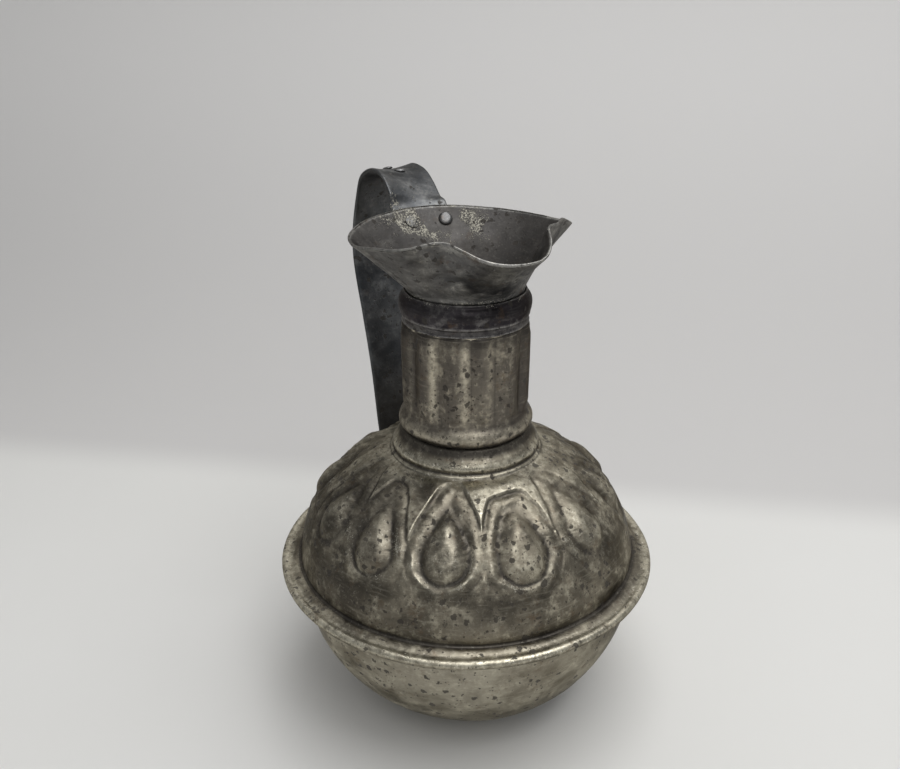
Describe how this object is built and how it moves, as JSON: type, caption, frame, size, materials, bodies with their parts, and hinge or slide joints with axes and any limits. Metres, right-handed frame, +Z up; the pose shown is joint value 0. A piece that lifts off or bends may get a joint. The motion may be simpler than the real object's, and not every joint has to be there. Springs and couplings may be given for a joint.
{
  "type": "jug",
  "caption": "Round-bellied jug of tinned copper sheet with a domed shoulder of raised drops, a fluted neck, a pinched pouring mouth and a riveted strap handle.",
  "frame": {"origin": "middle of the flat base, on the surface the jug stands on", "axes": "+Z up along the axis of the bowl and neck, +X towards the pouring lip, the handle on the -X side in the plane y = 0"},
  "size_m": [0.2107, 0.19, 0.2626],
  "materials": {
    "tinned_bowl": "worn satin tin over copper, pitted",
    "tinned_shoulder": "dark tarnished tin, rubbed bright on the raised work",
    "tinned_neck": "tarnished tin with dark pits",
    "tarnished_band": "near-black tarnish",
    "tinned_mouth": "matte mottled tin, dark inside",
    "dark_strap": "dark matte sheet",
    "rivet_metal": "dark hammered heads"
  },
  "bodies": {
    "root": {"bowl": "tinned_bowl", "shoulder": "tinned_shoulder", "neck": "tinned_neck", "neck_band": "tarnished_band", "mouth": "tinned_mouth", "handle": "dark_strap", "mouth_rivet_right": "rivet_metal", "mouth_rivet_left": "rivet_metal", "foot_rivet_right": "rivet_metal", "foot_rivet_left": "rivet_metal", "crest_rivet_front": "rivet_metal", "crest_rivet_rear": "rivet_metal"}
  },
  "joints": []
}
